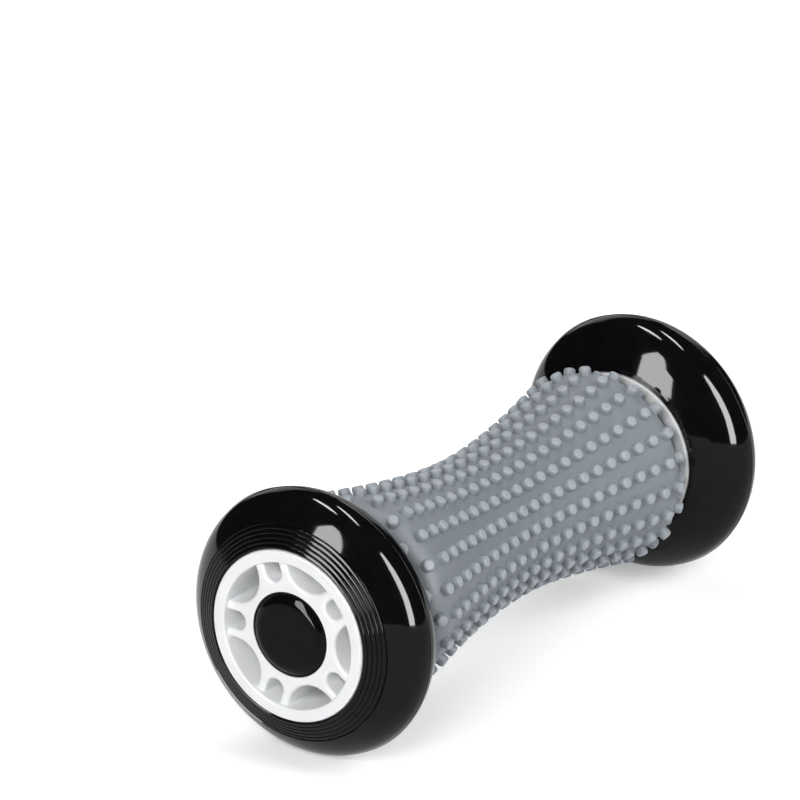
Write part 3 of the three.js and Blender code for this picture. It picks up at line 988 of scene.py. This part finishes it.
@dataclass
class Tyre:
    """The black tyre: ridges beside the hub, smooth flanks and a fine parting line."""

    end: End
    zone_share: float = 0.467
    zone_drop: float = 2.8 * MM
    inner_zone_share: float = 0.22
    zone_step: float = 0.22 * MM
    step_slope: float = 0.4
    tread_handle: float = 4.1 * MM
    flank_steps: int = 26
    ridge_count: int = 5
    ridge_height: float = 0.26 * MM
    inner_ridge_count: int = 3
    inner_ridge_height: float = 0.12 * MM
    ridge_steps: int = 10
    ridge_power: int = 4
    parting_height: float = 0.12 * MM
    parting_width: float = 0.45 * MM
    seat_gap: float = 0.15 * MM
    bore_edge: float = 0.5 * MM
    lock_height: float = 3.0 * MM
    lock_width: float = 8.6 * MM
    segments: int = 192

    def ridged(self, start: Vector, end: Vector, count: int, height: float) -> Outline:
        """A straight stretch of the outline with flat-topped ridges whose crests touch it.

        Args:
            start: Where the stretch starts.
            end: Where it ends.
            count: The number of ridges.
            height: The ridges' height.

        Returns:
            The points from start to end.
        """
        way = end - start
        out = Vector((-way.y, way.x)).normalized()
        if out.y * (start.y + end.y) < 0:
            out.negate()
        points = []
        for i in range(count * self.ridge_steps + 1):
            phase = (i % self.ridge_steps) / self.ridge_steps
            sink = height * (2 * phase - 1) ** self.ridge_power
            points.append(tuple(start + way * (i / (count * self.ridge_steps)) - out * sink))
        return points

    def flank(self, zone: Vector, tread: float, handle: float) -> Outline:
        """The curve from the side zone's edge to the parting line.

        Args:
            zone: The zone's edge.
            tread: The tread's radius.
            handle: The place of the curve's handle on the tread's own line.

        Returns:
            The points, without the one at the parting line.
        """
        ways = [i / self.flank_steps for i in range(self.flank_steps)]
        weights = [((1 - t) ** 2, 2 * t * (1 - t)) for t in ways]
        return [(tread + a * (zone.x - tread), a * zone.y + b * handle) for a, b in weights]

    def outline(self, hub_radius: float, extent: Extent) -> Outline:
        """The tyre's closed outline, with places counted from the wheel's middle.

        Args:
            hub_radius: The hub's outer radius.
            extent: The tyre node's extent.

        Returns:
            The outline.
        """
        face = extent.width / 2
        tread = extent.radius - self.parting_height
        bore = hub_radius + self.seat_gap
        zone = Vector((hub_radius + self.zone_share * (extent.radius - hub_radius), face - self.zone_drop))
        step = Vector((self.zone_step, -self.zone_step * self.step_slope))
        start = Vector((bore, face)) + step
        outer = self.ridged(start, zone - step, self.ridge_count, self.ridge_height)
        outer += self.flank(zone, tread, self.tread_handle)
        bead = arc((tread, 0.0), self.parting_width / 2, QUARTER_TURN, -QUARTER_TURN, steps=6)
        squeeze = self.parting_height / (self.parting_width / 2)
        bead = [(tread + (radius - tread) * squeeze, place) for radius, place in bead]
        rings_end = Vector((hub_radius, -face))
        rings_end += Vector((zone.x - hub_radius, self.zone_drop)) * self.inner_zone_share
        inner_start = Vector((start.x, -start.y))
        inner = self.ridged(inner_start, rings_end, self.inner_ridge_count, self.inner_ridge_height)
        inner += self.flank(Vector((zone.x, -zone.y)), tread, -self.tread_handle)
        half_lock, edge = self.lock_width / 2, face - self.bore_edge
        lock = stepped(bore, -half_lock, bore + self.lock_height, half_lock, bore, edge)
        return outer + bead + inner[::-1] + [(bore, -edge)] + lock

    def build(self) -> None:
        """Builds the tyre."""
        node = self.end.node("tyre")
        extent = Extent.of(node)
        outline = [(radius, out + extent.middle) for radius, out in self.outline(WheelHub.rim_radius, extent)]
        work = Workpiece().turn(outline, self.segments)
        work.finish(node, TYRE_GLOSS, Body.wheel(self.end), self.end, steady=False)


@dataclass
class Pocket:
    """One pocket between the spokes: an arc of the rim, and an inner side that an offset moves outwards."""

    rim: float
    rim_steps: int

    def inner_side(self, offset: float) -> Outline:
        """The points of the inner side, from its end at the rim round to its start; each kind has its own."""
        raise NotImplementedError

    def outline(self, offset: float, turn: float, out: float) -> tuple[list[Vector], list[Vector]]:
        """The pocket's outline at one depth.

        Args:
            offset: How far the inner side lies outside the pocket's wall.
            turn: The pocket's turn about the axle.
            out: The place outwards.

        Returns:
            The places on the rim's arc, and those of the inner side that join its end to its start.
        """
        inner = self.inner_side(offset)
        half_angle = math.atan2(inner[0][1], inner[0][0])
        rim_side = arc((0.0, 0.0), self.rim, -half_angle, half_angle, self.rim_steps)
        matrix = Matrix.Rotation(-turn, 4, "Y")
        rows = [[matrix @ Vector((x, -out, z)) for x, z in side] for side in (rim_side, inner[1:-1])]
        return rows[0], rows[1]


@dataclass
class Scallop(Pocket):
    """A large pocket: the lens between the rim and a circle that cuts into the star."""

    apex: float
    radius: float
    steps: int = 40

    def inner_side(self, offset: float) -> Outline:
        """The circle's part inside the rim.

        Args:
            offset: How far it lies outside the pocket's wall.

        Returns:
            The points.
        """
        centre, radius = self.apex + self.radius, self.radius + offset
        x = (centre ** 2 + self.rim ** 2 - radius ** 2) / (2 * centre)
        start = math.atan2(math.sqrt(self.rim ** 2 - x ** 2), x - centre)
        return arc((centre, 0.0), radius, start, FULL_TURN - start, self.steps)


@dataclass
class UShape(Pocket):
    """A small pocket: straight sides from the rim to a half circle."""

    apex: float
    half_width: float
    steps: int = 18

    def inner_side(self, offset: float) -> Outline:
        """Both sides and the half circle between them.

        Args:
            offset: How far it lies outside the pocket's wall.

        Returns:
            The points.
        """
        half, bend = self.half_width + offset, self.apex + self.half_width
        x = math.sqrt(self.rim ** 2 - half ** 2)
        side = [(x, half), ((x + bend) / 2, half)]
        bottom = arc((bend, 0.0), half, QUARTER_TURN, 3 * QUARTER_TURN, self.steps)
        return side + bottom + [(along, -across) for along, across in reversed(side)]


@dataclass
class WheelHub:
    """The white hub: a rim ring round a lower star of boss and spokes, with ten pockets between them."""

    rim_radius = 22.25 * MM

    end: End
    rim_wall: float = 3.25 * MM
    boss_wall: float = 2.25 * MM
    star_depth: float = 1.3 * MM
    seat_gap: float = 0.05 * MM
    scallop_radius: float = 7.4 * MM
    slot_half_width: float = 2.4 * MM
    slot_wall: float = 0.4 * MM
    spoke_count: int = 5
    pocket_round: float = 0.9 * MM
    inner_round: float = 0.4 * MM
    edge_round: float = 0.6 * MM
    rim_round: float = 0.5 * MM
    boss_round: float = 0.15 * MM
    shoulder_height: float = 1.5 * MM
    lock_height: float = 2.8 * MM
    lock_width: float = 8.0 * MM
    sides: int = 192
    bore_sides: int = 128

    def turned(self, work: Workpiece, outline: Outline, count: int) -> tuple[Loop, Loop]:
        """Sweeps a ring of so many vertices through an outline, and returns its first and last place."""
        first, *rows = [ring(radius, out, count) for radius, out in outline]
        return (top := work.loop(first)), work.sweep(top, rows)

    def outside(self, extent: Extent) -> Outline:
        """The hub's outer side, from its face to its inner end.

        Args:
            extent: The hub node's extent.

        Returns:
            The open outline, with the ridge that locks the tyre.
        """
        rim, middle, half_lock = self.rim_radius, extent.middle, self.lock_width / 2
        corner = (rim - self.edge_round, extent.outer - self.edge_round)
        edge = arc(corner, self.edge_round, QUARTER_TURN, 0.0, steps=4)
        lock = stepped(rim, middle + half_lock, rim + self.lock_height, middle - half_lock, rim)
        return edge + lock + [(radius, 2 * middle - out) for radius, out in reversed(edge)]

    def build(self) -> None:
        """Builds the hub: the outside, the boss's bore, the pockets, and the faces between them."""
        node = self.end.node("wheel_hub")
        extent = Extent.of(node)
        seat = Extent.of(self.end.node("bearing_outer_race/outboard")).radius + self.seat_gap
        spacer = Extent.of(self.end.node("race_spacer"))
        low, face = extent.inner, extent.outer
        star = face - self.star_depth
        rim = self.rim_radius - self.rim_wall
        boss = seat + self.boss_wall
        work = Workpiece()
        outer_top, outer_bottom = self.turned(work, self.outside(extent), self.sides)
        bore = [(seat + offset, star - depth) for offset, depth in round_over(self.boss_round, steps=3)]
        bore += stepped(seat, spacer.outer, seat - self.shoulder_height, spacer.inner, seat, low)
        bore_top, bore_bottom = self.turned(work, bore, self.bore_sides)

        sector = FULL_TURN / self.spoke_count
        scallop = Scallop(rim, rim_steps=24, apex=boss, radius=self.scallop_radius)
        slot = UShape(rim, rim_steps=8, apex=boss + self.slot_wall, half_width=self.slot_half_width)
        pockets = [(pocket, (i + shift) * sector) for i in range(self.spoke_count)
                   for pocket, shift in ((scallop, 0.0), (slot, 0.5))]
        steps = [(offset, star - depth) for offset, depth in round_over(self.pocket_round, steps=6)]
        steps += [(offset, low + depth) for offset, depth in reversed(round_over(self.inner_round, steps=3))]
        star_edges, rim_rows, bottom_edges = [], [], []
        for pocket, turn in pockets:
            outlines = [pocket.outline(offset, turn, out) for offset, out in steps]
            top = work.loop(outlines[0][0] + outlines[0][1])
            rim_rows.append(top.verts[:pocket.rim_steps + 1])
            star_edges += [e for e in top.edges() if not set(e.verts) <= set(rim_rows[-1])]
            bottom_edges += work.sweep(top, [a + b for a, b in outlines[1:]]).edges()

        circle = self.close_rim(work, rim_rows, star_edges)
        places = [v.co.copy() for v in circle.verts]
        rows = []
        for offset, depth in reversed(round_over(self.rim_round, steps=4)):
            scale = 1 + offset / rim
            rows.append([Vector((p.x * scale, -(face - depth), p.z * scale)) for p in places])
        rim_top = work.sweep(circle, rows)
        work.fill(outer_top.edges() + rim_top.edges())
        work.fill(star_edges + bore_top.edges())
        work.fill(outer_bottom.edges() + bore_bottom.edges() + bottom_edges)
        work.finish(node, WHITE_SHELL, Body.wheel(self.end), self.end)

    def close_rim(self, work: Workpiece, rim_rows: list, star_edges: list) -> Loop:
        """Joins the pockets' rim arcs into one circle, with the spokes' ends between them.

        Args:
            work: The workpiece.
            rim_rows: Each pocket's vertices on the rim, in order.
            star_edges: The edges round the star's face; the spokes' ends are added to it.

        Returns:
            The closed circle.
        """
        verts = []
        for row, following in zip(rim_rows, rim_rows[1:] + rim_rows[:1]):
            start, end = row[-1], following[0]
            middle = (start.co + end.co) / 2
            middle *= math.hypot(start.co.x, start.co.z) / math.hypot(middle.x, middle.z)
            middle.y = start.co.y
            between = work.mesh.verts.new(middle)
            star_edges += [work.mesh.edges.new((start, between)), work.mesh.edges.new((between, end))]
            verts += [*row, between]
        return Loop(verts)


@dataclass
class HubCap:
    """The black cap: a skirt that grips the hub, a narrow flange and a clear-cast dome."""

    end: End
    plate: float = 1.5 * MM
    flange_width: float = 0.5 * MM
    edge_round: float = 0.12 * MM
    flat_radius: float = 7.2 * MM
    steepest: float = math.radians(50)
    bend: float = 1.3
    dome_steps: int = 28
    skirt_wall: float = 1.2 * MM
    segments: int = 160

    def dome(self, radius: float, top: float) -> Outline:
        """The dome's outline, level in the middle and steeper and steeper towards its foot.

        Args:
            radius: The radius of its foot.
            top: The place of its top outwards.

        Returns:
            The points from the axle to the foot.
        """
        points = [(0.0, top), (self.flat_radius, top)]
        step = (radius - self.flat_radius) / self.dome_steps
        for i in range(self.dome_steps):
            slope = math.tan(self.steepest * ((i + 0.5) / self.dome_steps) ** self.bend)
            points.append((points[-1][0] + step, points[-1][1] - step * slope))
        return points

    def build(self) -> None:
        """Builds the cap."""
        node = self.end.node("hub_cap")
        extent = Extent.of(node)
        inner, underside = extent.radius - self.skirt_wall, extent.outer - self.plate
        dome = self.dome(extent.radius - self.flange_width, extent.outer)
        corner = (extent.radius - self.edge_round, dome[-1][1] - self.edge_round)
        edge = arc(corner, self.edge_round, QUARTER_TURN, 0.0, steps=4)
        outline = dome + edge + stepped(extent.radius, extent.inner, inner, underside, 0.0)
        work = Workpiece().turn(outline, self.segments)
        work.finish(node, CAP_GLOSS, Body.wheel(self.end), self.end, steady=False)


@dataclass
class Wheel:
    """One wheel: tyre, hub, cap and its two bearings."""

    end: End

    def build(self) -> None:
        """Builds the wheel's pieces."""
        Tyre(self.end).build()
        WheelHub(self.end).build()
        HubCap(self.end).build()
        for place in ("inboard", "outboard"):
            Bearing(self.end, place).build()


# Studio


def toward(azimuth: float, elevation: float) -> Vector:
    """A unit vector by its degrees from -Y towards +X and its degrees above the level."""
    turn, rise = math.radians(azimuth), math.radians(elevation)
    return Vector((math.sin(turn) * math.cos(rise), -math.cos(turn) * math.cos(rise), math.sin(rise)))


class Purpose(Enum):
    """What a lamp is for: the light on the roller, or the glints in its polished black."""

    LIGHT = "light"
    GLINT = "glint"


class Shape(str, Enum):
    """Blender's shapes of an area lamp that are used here."""

    SOFTBOX = "RECTANGLE"
    SLIVER = "ELLIPSE"


@dataclass(frozen=True)
class Lamp:
    """One lamp, placed by the direction in degrees from which it lights the roller."""

    name: str
    purpose: Purpose
    azimuth: float
    elevation: float
    width: float
    height: float
    brightness: float
    distance: float = 1.6
    roll: float = 0.0
    shape: Shape = Shape.SOFTBOX

    def build(self) -> None:
        """Builds the lamp, turned towards the roller's middle."""
        data = bpy.data.lights.new(self.name, "AREA")
        data.shape = self.shape.value
        data.size, data.size_y = self.width, self.height
        data.energy = self.brightness * math.pi * self.width * self.height
        lamp = bpy.data.objects.new(self.name, data)
        away = toward(self.azimuth, self.elevation)
        axes = away.to_track_quat("Z", "Y").to_matrix() @ Matrix.Rotation(math.radians(self.roll), 3, "Z")
        lamp.matrix_world = Matrix.Translation(away * self.distance) @ axes.to_4x4()
        lamp.visible_glossy = self.purpose is Purpose.GLINT
        lamp.visible_diffuse = self.purpose is Purpose.LIGHT
        bpy.context.scene.collection.objects.link(lamp)


@dataclass(frozen=True)
class Panel:
    """One bright panel that shows only in the polished black, given by the directions of its corners."""

    name: str
    brightness: float
    corners: tuple[tuple[float, float], ...]
    distance: float = 3.0

    def build(self) -> None:
        """Builds the panel, facing the roller."""
        nodes = Nodes(bpy.data.materials.new(f"{self.name}_light"))
        light = nodes.add("ShaderNodeEmission", {"Color": WHITE, "Strength": self.brightness})
        work = bmesh.new()
        work.faces.new([work.verts.new(toward(*corner) * self.distance) for corner in self.corners])
        panel = linked(work, self.name, nodes.end(light))
        panel.visible_camera = panel.visible_diffuse = panel.visible_shadow = False


@dataclass
class Studio:
    """The plain white floor, the soft lamps and the camera of the photograph."""

    floor_size: float = 2.2
    paper_tone: float = 0.94
    paper_glow: float = 0.38
    world_light: float = 0.08
    world_gloss_share: float = 0.2
    azimuth: float = 34.98
    elevation: float = 20.74
    roll: float = -0.464
    distance: float = 1.5516
    aim_right: float = -21.16 * MM
    aim_up: float = 32.48 * MM
    lens: float = 274.5
    sensor: float = 36.0
    clip_start: float = 0.05
    lamps: tuple[Lamp, ...] = (
        Lamp("back_light", Purpose.LIGHT, 250, 58, 1.2, 1.2, 2.6),
        Lamp("side_light", Purpose.LIGHT, 108, 34, 1.0, 0.9, 4.9),
        Lamp("front_light", Purpose.LIGHT, 20, 30, 0.6, 0.6, 13.5),
        Lamp("backdrop_glint", Purpose.GLINT, 215, 22, 3.2, 1.6, 1.3, 3.0),
        Lamp("first_overhead_glint", Purpose.GLINT, -74, 72.4, 0.2, 1.5, 50, 3.15, -55.9, Shape.SLIVER),
        Lamp("second_overhead_glint", Purpose.GLINT, 177.4, 88.2, 0.2, 1.5, 50, 3.0, 52.6, Shape.SLIVER),
    )
    panels: tuple[Panel, ...] = (
        Panel("softbox", 42, (
            (-23.5, 47), (-11.5, 55.5), (-2, 53), (1.5, 48.5), (3.7, 42), (3.5, 17), (-20, 18),
        )),
        Panel("softbox_foot", 42, ((-20, 18), (1, 17), (12, -1), (-9, 3))),
        Panel("strip_top", 56, ((57, 50), (64, 52), (73, 36), (58.5, 36))),
        Panel("strip_middle", 56, ((58.5, 36), (73, 36), (76.5, 17), (63, 17))),
        Panel("strip_foot", 56, ((63, 17), (76.5, 17), (76.5, 4), (75.5, -1.5), (64, -1.5))),
    )

    def floor(self) -> None:
        """Builds the floor, which looks white to the camera and keeps the shadow."""
        work = bmesh.new()
        low = min(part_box(end.node("tyre"))[0].z for end in End)
        level = Matrix.Translation((0.0, 0.0, low))
        bmesh.ops.create_grid(work, x_segments=1, y_segments=1, size=self.floor_size / 2, matrix=level)
        nodes = Nodes(bpy.data.materials.new("white_paper"))
        path = nodes.add("ShaderNodeLightPath").outputs
        seen = nodes.math("ADD", path["Is Camera Ray"], path["Is Glossy Ray"])
        seen = nodes.math("ADD", seen, path["Is Transmission Ray"])
        strength = nodes.math("MULTIPLY", seen, self.paper_glow)
        glow = nodes.add("ShaderNodeEmission", {"Color": WHITE, "Strength": strength})
        paper = nodes.add("ShaderNodeBsdfDiffuse", {"Color": (*[self.paper_tone] * 3, 1.0)})
        both = nodes.add("ShaderNodeAddShader", {0: paper.outputs["BSDF"], 1: glow.outputs["Emission"]})
        floor = linked(work, "studio_floor", nodes.end(both))

    def world(self) -> None:
        """Builds the surroundings, white to the camera and dim in the light and the glints."""
        nodes = Nodes(bpy.data.worlds.new("studio"))
        path = nodes.add("ShaderNodeLightPath").outputs
        shares = [nodes.add("ShaderNodeMapRange", {"Value": path[ray], "To Min": low, "To Max": high})
                  for ray, low, high in (("Is Camera Ray", self.world_light, 1.0),
                                         ("Is Glossy Ray", 1.0, self.world_gloss_share))]
        strength = nodes.math("MULTIPLY", *[share.outputs["Result"] for share in shares])
        sky = nodes.add("ShaderNodeBackground", {"Color": WHITE, "Strength": strength})
        bpy.context.scene.world = nodes.end(sky, "ShaderNodeOutputWorld")

    def camera(self) -> None:
        """Places the camera at the photograph's viewing angle."""
        back = toward(self.azimuth, self.elevation)
        right = Vector((-back.y, back.x, 0.0)).normalized()
        right.rotate(Matrix.Rotation(math.radians(self.roll), 3, back))
        up = back.cross(right)
        data = bpy.data.cameras.new("camera")
        data.lens, data.sensor_width, data.clip_start = self.lens, self.sensor, self.clip_start
        camera = bpy.data.objects.new("camera", data)
        place = back * self.distance + right * self.aim_right + up * self.aim_up
        axes = Matrix((right, up, back)).transposed().to_4x4()
        camera.matrix_world = Matrix.Translation(place) @ axes
        bpy.context.scene.collection.objects.link(camera)
        bpy.context.scene.camera = camera

    def build(self) -> None:
        """Builds the studio."""
        self.floor()
        self.world()
        self.camera()
        for light in (*self.lamps, *self.panels):
            light.build()
        bpy.context.scene.view_settings.view_transform = "Standard"


def main() -> None:
    """Builds the roller from the inside out, then the studio."""
    logging.basicConfig(level=logging.INFO, format="%(message)s")
    line = BarrelLine(end=57.0 * MM)
    core = Core(line)
    core.build()
    AxleLine(core).build()
    StuddedSleeve(line).build()
    for end in End:
        Wheel(end).build()
    Studio().build()


if __name__ == "__main__":
    main()
